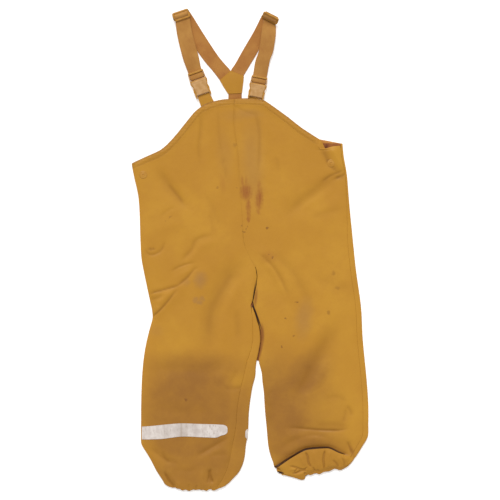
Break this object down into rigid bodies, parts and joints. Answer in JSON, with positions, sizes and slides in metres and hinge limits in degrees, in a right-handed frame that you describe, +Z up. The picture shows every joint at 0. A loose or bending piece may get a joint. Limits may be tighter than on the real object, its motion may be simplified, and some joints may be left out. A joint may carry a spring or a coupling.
{
  "type": "rain pants",
  "caption": "Child's bib rain pants in mustard coated cloth, laid flat with the front up, with crossed elastic straps, side-release buckles and gathered ankles.",
  "frame": {"origin": "on the floor, at the centre of the garment's outline seen from above", "axes": "+Z up from the floor, +Y from the hems towards the straps, +X to the wearer's left; the front faces up"},
  "size_m": [0.379, 0.77, 0.0147],
  "materials": {
    "coated_cloth": "matt coated cloth, worn and stained at the knees",
    "elastic_webbing": "woven elastic",
    "clip_plastic": "moulded",
    "socket_plastic": "moulded, paler",
    "snap_plastic": "moulded",
    "reflective_tape": "worn retroreflective tape"
  },
  "bodies": {
    "root": {"front_right": "coated_cloth", "front_left": "coated_cloth", "back_right": "coated_cloth", "back_left": "coated_cloth", "tab_right": "coated_cloth", "tab_left": "coated_cloth", "yoke": "coated_cloth", "back_elastic": "elastic_webbing", "strap_rear_right": "elastic_webbing", "strap_rear_left": "elastic_webbing", "strap_front_right": "elastic_webbing", "strap_front_left": "elastic_webbing", "slider_right": "clip_plastic", "slider_left": "clip_plastic", "buckle_clip_right": "clip_plastic", "buckle_clip_left": "clip_plastic", "buckle_socket_right": "socket_plastic", "buckle_socket_left": "socket_plastic", "snap_right": "snap_plastic", "snap_left": "snap_plastic", "reflective_front": "reflective_tape", "reflective_back_end": "reflective_tape"}
  },
  "joints": []
}
